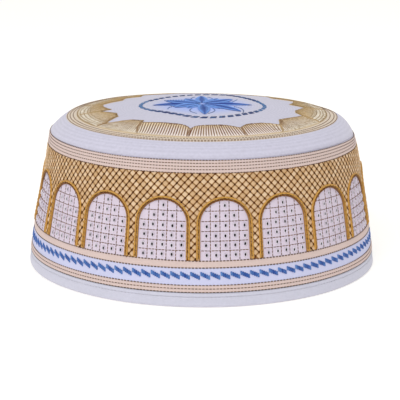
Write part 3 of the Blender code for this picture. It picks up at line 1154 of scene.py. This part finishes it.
blue_thread = thread_finish("blue_thread", (40, 86, 176), (104, 152, 222), 0.5, 0.1)
bar_middles = ((np.arange(BAR_COUNT) + 0.35) * WALL_LENGTH / BAR_COUNT)[:, None]
step = np.linspace(-0.5, 0.5, len(BAR_SHADES))
bar_x = bar_middles + step * BAR_REACH[0]
bar_y = BAR_MIDDLE - step * BAR_REACH[1] + 0.0 * bar_middles
bar_places = np.stack([bar_x.ravel(), bar_y.ravel()], axis=1)
bar_ahead = np.broadcast_to([-0.12, 1.0], bar_places.shape)
bar_shade = np.clip(np.tile(BAR_SHADES, BAR_COUNT) + dice.normal(0.0, 0.12, len(bar_places)), 0.0, 1.0)
bars = lay_stitches(
    on_wall, bar_places, bar_ahead, 2.2 * MM, 1.0 * MM, 0.5 * MM, shade=bar_shade, shape=SATIN,
)
make_threads("blue_bars", [bars], blue_thread)

# %% [markdown]
# ## Leaves round the crown
# Inside three circles of brown stitch, a wreath of fifteen golden leaves points at the
# middle of the crown. A leaf could be one shape repeated. The machine did not space them
# evenly, though, so the angles of their tips and of the notches between them, and the
# radius of the wreath's inner edge, are in tables.

# %% The wreath's edge
WREATH_BASE = 67.6 * MM
WREATH_EDGE = {
    -130: 55.5, -119.5: 50.5, -113: 53.8, -105.8: 56.3, -96.4: 53.4, -85.4: 48.4, -83.8: 54.7, -78: 51.0,
    -70.7: 47.4, -62: 49.4, -56.7: 57.5, -54.4: 60.6, -52.7: 58.6, -50.5: 53.0, -47: 48.8, -39.7: 46.6,
    -38.4: 49.8, -32.9: 48.2, -27.5: 46.7, -22.4: 46.0, -16.7: 46.2, -13.2: 47.0, -10.3: 48.5, -8: 51.0,
    -6.1: 54.8, -5.4: 52.6, -3.7: 49.8, 0.6: 48.0, 6: 47.4, 11.6: 47.6, 15.5: 49.4, 18.6: 52.2,
    21: 54.6, 22.6: 52.6, 26.8: 49.6, 30.4: 49.2, 36.7: 50.2, 41: 53.2, 44: 57.0, 47.5: 54.0,
    52.2: 50.2, 56: 50.8, 63.8: 52.9, 69.2: 54.6, 72.2: 56.0, 77.7: 50.8, 83.7: 50.0, 89.7: 52.3,
    98: 56.2, 104.8: 49.2, 114.5: 55.6, 119.5: 58.5, 131: 51.5, 142: 58.5, 154: 50.5, 166: 58.5,
    178: 50.5, 190: 58.5, 202: 50.5, 214: 58.5, 222: 51.0,
}
NOTCHES = (-130, -105.8, -83.8, -54.4, -38.4, -6.1, 21, 44, 72.2, 98, 119.5, 142, 166, 190, 214, 230)
LEAF_ENDS = (-130, -106, -81, -53.5, -29, -6.1, 19.5, 37.5, 66, 96, 119.5, 142, 166, 190, 214, 230)
LEAF_TIPS = (-119.5, -86, -65, -41, -19, 8.5, 32, 53, 80, 105, 131, 154, 178, 202, 222)
WREATH_FLAT_FROM = 38.0 * MM
WREATH_FLAT_OVER = 8.0 * MM
WREATH_FLAT_BY = 0.30 * MM


def from_table(table, angles):
    """A radius of a table by degrees and millimetres: straight steps between its angles."""
    return np.interp(np.degrees(angles), list(table), list(table.values()), period=360.0) * MM


def wreath_edge(angles):
    """Radius of the wreath's inner edge."""
    return from_table(WREATH_EDGE, angles)


def on_wreath(x, y, out):
    """The top's point for the wreath's stitches, which are pulled tight and flat at the back."""
    behind = np.clip((y - WREATH_FLAT_FROM) / WREATH_FLAT_OVER, 0.0, 1.0)
    return on_top(x, y, out - WREATH_FLAT_BY * behind)


print("leaves:", len(LEAF_TIPS))

# %% [markdown]
# ## Satin ground of the leaves
# Under the threads each leaf is covered with flat satin stitch, a thin padded layer that
# stands a little off the cloth. It is one ring, a profile from the circles in to the edge
# table, closed underneath. Its UV map runs round and inward, for its stripes and tints.

# %% Satin ground of the wreath
WREATH_COLUMNS = 1080
WREATH_HEIGHT = 0.42 * MM
WREATH_ROOT = 0.05 * MM
WREATH_SHARES = np.array([0.0, 0.03, 0.1, 0.2, 0.35, 0.5, 0.65, 0.8, 0.9, 0.97, 1.0, 1.0, 0.0])
WREATH_STRIPE = 0.0024
WREATH_FRONT = 0.52
SATIN_SIDE = colour(246, 234, 214)
SATIN_FRONT = colour(246, 232, 224)
SATIN_TIP = colour(234, 206, 158)
SATIN_FOOT = colour(214, 190, 152)

wreath_finish, flow = cloth_finish("wreath_satin", 0.7, 0.1)
turn_share, inward = flow.uv().apart()
threads = turn_share.stripes(WREATH_STRIPE)
from_front = turn_share - WREATH_FRONT
in_front = 1.0 - from_front.math("ABSOLUTE", from_front).rise(0.075, 0.11)
base = inward.rise(0.40, 1.0).mix(in_front.mix(SATIN_SIDE, SATIN_FRONT), SATIN_TIP)
base = (1.0 - inward.rise(0.02, 0.10)).mix(base, SATIN_FOOT)
look = (threads * 0.12 + 0.90) * unevenness(flow, 220.0, 0.08)
feed(wreath_finish, base, look, threads, 0.06 * MM)

wreath_angles = round_angles(WREATH_COLUMNS)
row_count = len(WREATH_SHARES)
below = np.arange(row_count) >= row_count - 3
swell = np.minimum(1.0, 9.0 * np.minimum(WREATH_SHARES, 1.0 - WREATH_SHARES)) ** 0.6
lift = WREATH_HEIGHT * swell * ~below - WREATH_ROOT * below
plan = polar(WREATH_BASE + WREATH_SHARES[:, None] * (wreath_edge(wreath_angles) - WREATH_BASE), wreath_angles)
points = on_wreath(plan[..., 0], plan[..., 1], lift[:, None])
quads, corner_rows, corner_columns = grid_faces(row_count, WREATH_COLUMNS, wrap_rows=True)
uv = np.stack([corner_columns / WREATH_COLUMNS, WREATH_SHARES[corner_rows % row_count]], axis=-1)
make_piece("wreath_ground", points.reshape(-1, 3), [quads], [uv], wreath_finish)

# %% [markdown]
# ## Veins and borders of the leaves
# Golden veins fan out over each leaf, and a close-set border of short stitches follows
# its edge. Veins are tubes, because they are long and curved; borders are stitches. At
# the front the veins stand apart and are brown, as in the photograph. Towards the sides
# they are finer and lighter, and melt into the satin.

# %% Veins and borders of the leaves
VEIN_PITCH = 1.44 * MM
VEIN_STATIONS = 9
VEIN_HEIGHT = 0.16 * MM
FRONT_LEAVES = (4, 5, 6)
FANNED_LEAVES = (3, 4, 5, 6, 7)
BORDER_PITCH = 0.6 * MM
NOTCH_SHADES = (0.8, 0.8, 0.8, 0.4, 0.4, 0.2, 0.3, 0.8, 0.8, 0.8, 0.8, 0.8, 0.8, 0.8, 0.8)


def leaf_veins(number, foot):
    """Flat paths from a radius foot to the edge, spread evenly over both ends of their leaf."""
    left, right = LEAF_ENDS[number], LEAF_ENDS[number + 1]
    along = np.linspace(0.0, 1.0, VEIN_STATIONS)
    count = int(round(math.radians(right - left) * WREATH_BASE / VEIN_PITCH))
    share = (np.arange(count) + 0.5) / count
    start = np.radians(left + share * (right - left))
    end = np.radians(NOTCHES[number] + (0.02 + 0.96 * share) * (NOTCHES[number + 1] - NOTCHES[number]))
    angle = start[:, None] + (end - start)[:, None] * along ** 1.4
    radius = foot + along * (wreath_edge(end)[:, None] + 0.3 * MM - foot)
    return polar(radius, angle)


def notch_paths():
    """Two threads, side by side, along each line between two leaves, out to its notch."""
    reach = np.linspace(0.0, 1.0, VEIN_STATIONS)
    aside = np.tile([-0.3, 0.3], len(LEAF_TIPS))[:, None]
    end = np.repeat(LEAF_ENDS[:-1], 2)[:, None] + aside
    notch = np.repeat(NOTCHES[:-1], 2)[:, None]
    radius = wreath_edge(np.radians(notch)) + 0.3 * MM
    turn = np.radians(end + (notch - end + aside) * reach)
    return polar(WREATH_BASE + (radius - WREATH_BASE) * reach, turn)


def border_stitches():
    """Close satin stitches from the edge outwards, longest at the tips of the leaves."""
    fine = np.linspace(-math.pi, math.pi, 20001)
    run = run_along(polar(wreath_edge(fine), fine))
    angle = np.interp(np.arange(0.0, run[-1], BORDER_PITCH), run, fine)
    turn = np.angle(np.exp(1j * (angle[:, None] - np.radians(np.array(LEAF_TIPS)))))
    nearest = np.take_along_axis(turn, np.abs(turn).argmin(axis=1)[:, None], axis=1)[:, 0]
    closeness = np.exp(-(nearest / math.radians(6.0)) ** 2)
    length = (1.0 + 2.2 * closeness + 1.2 * dice.random(len(angle))) * MM
    outward = polar(1.0, angle + 0.35 * nearest + dice.normal(0.0, 0.12, len(angle)))
    places = polar(wreath_edge(angle) + 0.15 * MM, angle) + outward * length[:, None] * 0.5
    aside = np.clip((np.abs(angle - math.radians(4.0)) - math.radians(28.0)) / math.radians(8.0), 0.0, 1.0)
    shade = 0.40 - 0.25 * closeness + 0.40 * aside + dice.normal(0.0, 0.20, len(angle))
    sizes = (length, 0.50 * MM, 0.20 * MM)
    return lay_stitches(on_wreath, places, outward, *sizes, lift=0.30 * MM, shade=np.clip(shade, 0.0, 1.0))


leaf_thread = thread_finish("leaf_thread", (130, 76, 40), (222, 188, 130), 0.55, 0.1)
vein_sets = []
for number in range(len(LEAF_TIPS)):
    paths = leaf_veins(number, (67.0 if number in FANNED_LEAVES else 62.4) * MM)
    turn = np.degrees(np.arctan2(paths[:, 0, 0], -paths[:, 0, 1]))
    bold = np.clip((turn + 31.0) / 4.0, 0.0, 1.0) * np.clip((34.0 - turn) / 9.0, 0.0, 1.0)
    far_side = np.clip((np.abs(turn) - 50.0) / 20.0, 0.0, 1.0)
    shade = 0.10 - 0.10 * bold + 0.60 * far_side + 0.3 * dice.random(len(paths))
    width = (0.66 if number in FRONT_LEAVES else 0.46) * MM
    vein_sets.append(lay_tubes(on_wreath, paths, width, VEIN_HEIGHT, sides=5, lift=0.37 * MM, shade=shade))
notch_threads = lay_tubes(
    on_wreath, notch_paths(), 0.55 * MM, 0.34 * MM, sides=5, lift=0.30 * MM,
    shade=np.repeat(NOTCH_SHADES, 2),
)
make_threads("leaf_veins", vein_sets + [notch_threads, border_stitches()], leaf_thread)

# %% [markdown]
# ## Fill and circles of the wreath
# The side leaves are filled with loose light stitches, scattered by a seeded random
# generator and darker towards the tips. Five arcs follow the leaves' feet at the sides,
# and three full circles close the wreath towards the shoulder.

# %% Fill, arcs and circles of stitch
FILL_STITCHES = 1900
LEAF_ARCS = (67.3, 65.5, 63.7, 61.9, 60.1)
ARC_SIZES = {"length": 1.6 * MM, "width": 0.50 * MM, "height": 0.16 * MM, "lift": 0.42 * MM, "shade": 0.7}
RING_LINES = (72.7, 71.2, 69.3)
RING_SIZES = {"length": 1.45 * MM, "width": 0.42 * MM, "height": 0.36 * MM}

fill_angle = np.radians(dice.uniform(36.0, 326.0, FILL_STITCHES))
fill_share = dice.uniform(0.05, 0.95, FILL_STITCHES)
fill_radius = WREATH_BASE + fill_share * (wreath_edge(fill_angle) - WREATH_BASE)
fill_shade = np.clip(1.0 - 0.8 * fill_share ** 1.5 + dice.normal(0.0, 0.15, FILL_STITCHES), 0.0, 1.0)
fill_ahead = polar(1.0, fill_angle + dice.normal(0.0, 0.3, FILL_STITCHES))
fill = lay_stitches(
    on_wreath, polar(fill_radius, fill_angle), fill_ahead, 1.6 * MM, 0.40 * MM, 0.16 * MM,
    lift=0.38 * MM, shade=fill_shade,
)
fill_thread = thread_finish("fill_thread", (214, 176, 112), (246, 228, 196), 0.55, 0.1)
make_threads("leaf_fill", [fill], fill_thread)

arc_turn = np.radians(np.linspace(67.0, 305.0, 600))
arcs = []
for line in LEAF_ARCS:
    arc = polar(line * MM + 0.2 * MM * np.sin(5.0 * arc_turn + line), arc_turn)
    arcs.append(running_stitch(on_wreath, arc, 1.7 * MM, **ARC_SIZES))
make_threads("leaf_arcs", arcs, leaf_thread)

full_turn = np.linspace(-math.pi, math.pi, 721)
circles = []
for line in RING_LINES:
    circle = polar(line * MM + 0.15 * MM * np.sin(3.0 * full_turn + line), full_turn)
    circles.append(running_stitch(on_top, circle, DASH_PITCH, **RING_SIZES))
ring_thread = thread_finish("ring_thread", (126, 84, 54), (172, 124, 78), 0.6, 0.3)
make_threads("crown_rings", circles, ring_thread)

# %% [markdown]
# ## Blue circle
# A circle of navy blocks, like a rope, runs round the flower. It is not quite round, so
# its radius is a table of angles, smoothed by a sliding bell. Each block is four satin
# stitches side by side, laid aslant. Where it turns away at the sides the stitches are
# finer and lighter.

# %% Blue circle
ROPE_RADIUS = {
    -180: 37.5, -155: 33.5, -130: 32.0, -105: 33.0, -84: 33.2, -62: 30.4, -45: 28.0, -26: 28.8,
    -8: 32.4, 3: 33.7, 22: 33.2, 44: 32.5, 66: 33.4, 88: 34.0, 110: 33.0, 136: 35.0, 160: 40.0,
}
ROPE_BLOCKS = 44
BLOCK_STITCHES = 4
BLOCK_PITCH = 0.82 * MM
SMOOTHING = 20

table_radii = from_table(ROPE_RADIUS, full_turn)
bell = np.exp(-(np.arange(-SMOOTHING, SMOOTHING + 1) / 9.0) ** 2)
padded_radii = np.concatenate([table_radii[-SMOOTHING - 1:-1], table_radii, table_radii[1:SMOOTHING + 1]])
rope = polar(np.convolve(padded_radii, bell / bell.sum(), mode="valid"), full_turn)
rope_run = run_along(rope)
offsets = (np.arange(BLOCK_STITCHES) - (BLOCK_STITCHES - 1) / 2.0) * BLOCK_PITCH
at = (((np.arange(ROPE_BLOCKS) + 0.5) * rope_run[-1] / ROPE_BLOCKS)[:, None] + offsets).ravel()
rope_places = on_path(rope, rope_run, at)
ahead = on_path(rope, rope_run, at + MM) - rope_places
across_rope = np.stack([-ahead[:, 1], ahead[:, 0]], axis=1) + 0.45 * ahead
sideways = np.abs(rope_places[:, 0]) / np.linalg.norm(rope_places, axis=1)
at_ends = np.clip((sideways - 0.82) / 0.14, 0.0, 1.0) * (rope_places[:, 1] < 14.0 * MM)
blocks = lay_stitches(
    on_top, rope_places, across_rope, (3.3 - 1.0 * at_ends) * MM, (0.92 - 0.36 * at_ends) * MM, 0.42 * MM,
    shade=np.clip(0.2 + 0.7 * at_ends + dice.normal(0.0, 0.18, at.size), 0.0, 1.0), shape=SATIN,
)
navy_thread = thread_finish("navy_thread", (30, 46, 116), (104, 152, 208), 0.5, 0.1)
make_threads("blue_circle", [blocks], navy_thread)

# %% [markdown]
# ## Flower
# In the middle lies a blue flower of satin petals. A satin petal is threads laid side by
# side, from the heart to the tip. The middle threads are navy and the outer ones light
# blue, which shades the petal. Petals made later lie a little higher, as they were sewn.
# Short rows of stitch outline some of them; each is a curve with one control point.

# %% Flower
PETALS = (
    {"tip": (17.0, 6.5), "half_width": 3.0, "light": 0.5, "bend": 0.0},
    {"tip": (-17.0, -4.5), "half_width": 3.0, "light": 0.5, "bend": 0.0},
    {"tip": (9.5, -13.0), "half_width": 3.0, "light": 0.6, "bend": 0.8},
    {"tip": (-7.5, -12.0), "half_width": 3.0, "light": 0.6, "bend": -0.8},
    {"tip": (8.5, 19.0), "half_width": 2.8, "light": 0.6, "bend": -0.8},
    {"tip": (-9.0, 18.0), "half_width": 2.8, "light": 0.6, "bend": 0.8},
    {"tip": (27.0, 0.5), "half_width": 3.0, "light": 0.15, "bend": 0.5},
    {"tip": (-26.5, -1.0), "half_width": 3.0, "light": 0.15, "bend": -0.5},
    {"tip": (1.5, -27.0), "half_width": 2.7, "light": 0.55, "bend": 0.3},
    {"tip": (-0.5, 28.5), "half_width": 2.8, "light": 0.55, "bend": 0.0},
    {"tip": (20.5, -18.5), "half_width": 3.2, "light": 0.35, "bend": 1.2},
    {"tip": (-14.5, -10.0), "half_width": 3.4, "light": 0.7, "bend": -1.0},
    {"tip": (16.5, 17.0), "half_width": 3.6, "light": 0.4, "bend": -1.0},
    {"tip": (-20.0, 11.5), "half_width": 3.4, "light": 0.4, "bend": 1.0},
)
PETAL_THREADS = 11
PETAL_STATIONS = 12
PETAL_STEP = 0.02 * MM
OUTLINES = (
    ((-5.2, -13.0), (-8.6, -19.0), (-2.6, -25.0)), ((5.6, -12.5), (9.0, -19.0), (3.2, -25.0)),
    ((17.0, -6.0), (23.5, -11.0), (21.6, -20.5)), ((-13.0, -6.0), (-19.0, -7.5), (-18.0, -13.5)),
    ((19.5, 17.5), (18.5, 13.0), (16.5, 8.5)), ((-9.0, 12.5), (-14.0, 14.5), (-21.0, 13.5)),
    ((5.0, 12.0), (7.5, 18.0), (3.0, 25.0)), ((-5.0, 12.0), (-7.5, 18.0), (-4.0, 25.0)),
)
OUTLINE_SIZES = {"length": 1.3 * MM, "width": 0.5 * MM, "height": 0.35 * MM}


def petal_paths(tip, half_width, bend):
    """Threads from heart to tip: straight, plus a half sine sideways for width and for bend."""
    share = np.linspace(0.0, 1.0, PETAL_STATIONS)[None, :, None]
    aside = np.linspace(-1.0, 1.0, PETAL_THREADS)[:, None, None]
    tip = np.array(tip)
    square = np.array([-tip[1], tip[0]]) / np.linalg.norm(tip)
    swell = np.sin(math.pi * share ** 0.8) + 0.12
    sideways = (aside * half_width + bend) * swell
    return (0.10 * tip + 0.90 * share * tip + sideways * square) * MM


petal_thread = thread_finish("petal_thread", (10, 42, 146), (132, 178, 254), 0.75, 0.0)
from_middle = np.abs(np.linspace(-1.0, 1.0, PETAL_THREADS))
petals = []
for petal in PETALS:
    paths = petal_paths(petal["tip"], petal["half_width"], petal["bend"])
    shade = petal["light"] - 0.25 + 0.95 * from_middle ** 1.5 + dice.normal(0.0, 0.08, PETAL_THREADS)
    width = 2.6 * petal["half_width"] / PETAL_THREADS * MM
    petals.append(lay_tubes(
        on_top, paths, width, 0.26 * MM, sides=5, lift=PETAL_STEP * len(petals),
        shade=np.clip(shade, 0.0, 1.0),
    ))
make_threads("flower_petals", petals, petal_thread)

share = np.linspace(0.0, 1.0, 40)[:, None]
outlines = []
for start, control, end in OUTLINES:
    curve = (1.0 - share) ** 2 * start + 2.0 * share * (1.0 - share) * control + share ** 2 * end
    outlines.append(running_stitch(on_top, curve * MM, 1.5 * MM, **OUTLINE_SIZES))
make_threads("flower_outlines", outlines, navy_thread)

# %% [markdown]
# ## Floor
# The cap stands on a plain pale floor that glows a little, so that its far end melts
# into the surround.

# %% Floor
FLOOR_REACH = 9.0
FLOOR_WHITE = colour(247, 246, 242)
FLOOR_GLOW = {"Emission Color": (1.0, 0.985, 0.94, 1.0), "Emission Strength": 0.30}

floor_mesh = bpy.data.meshes.new("floor")
floor_corners = [(x * FLOOR_REACH, y * FLOOR_REACH, 0.0) for x, y in ((-1, -1), (1, -1), (1, 1), (-1, 1))]
floor_mesh.from_pydata(floor_corners, [], [(0, 1, 2, 3)])
floor = bpy.data.objects.new("floor", floor_mesh)
bpy.context.scene.collection.objects.link(floor)
floor_finish, _ = cloth_finish("pale_floor", 0.9, 0.0)
for socket_name, value in {"Base Color": FLOOR_WHITE, **FLOOR_GLOW}.items():
    floor_finish.node_tree.nodes["Principled BSDF"].inputs[socket_name].default_value = value
floor_mesh.materials.append(floor_finish)
print("floor:", 2.0 * FLOOR_REACH, "m square")
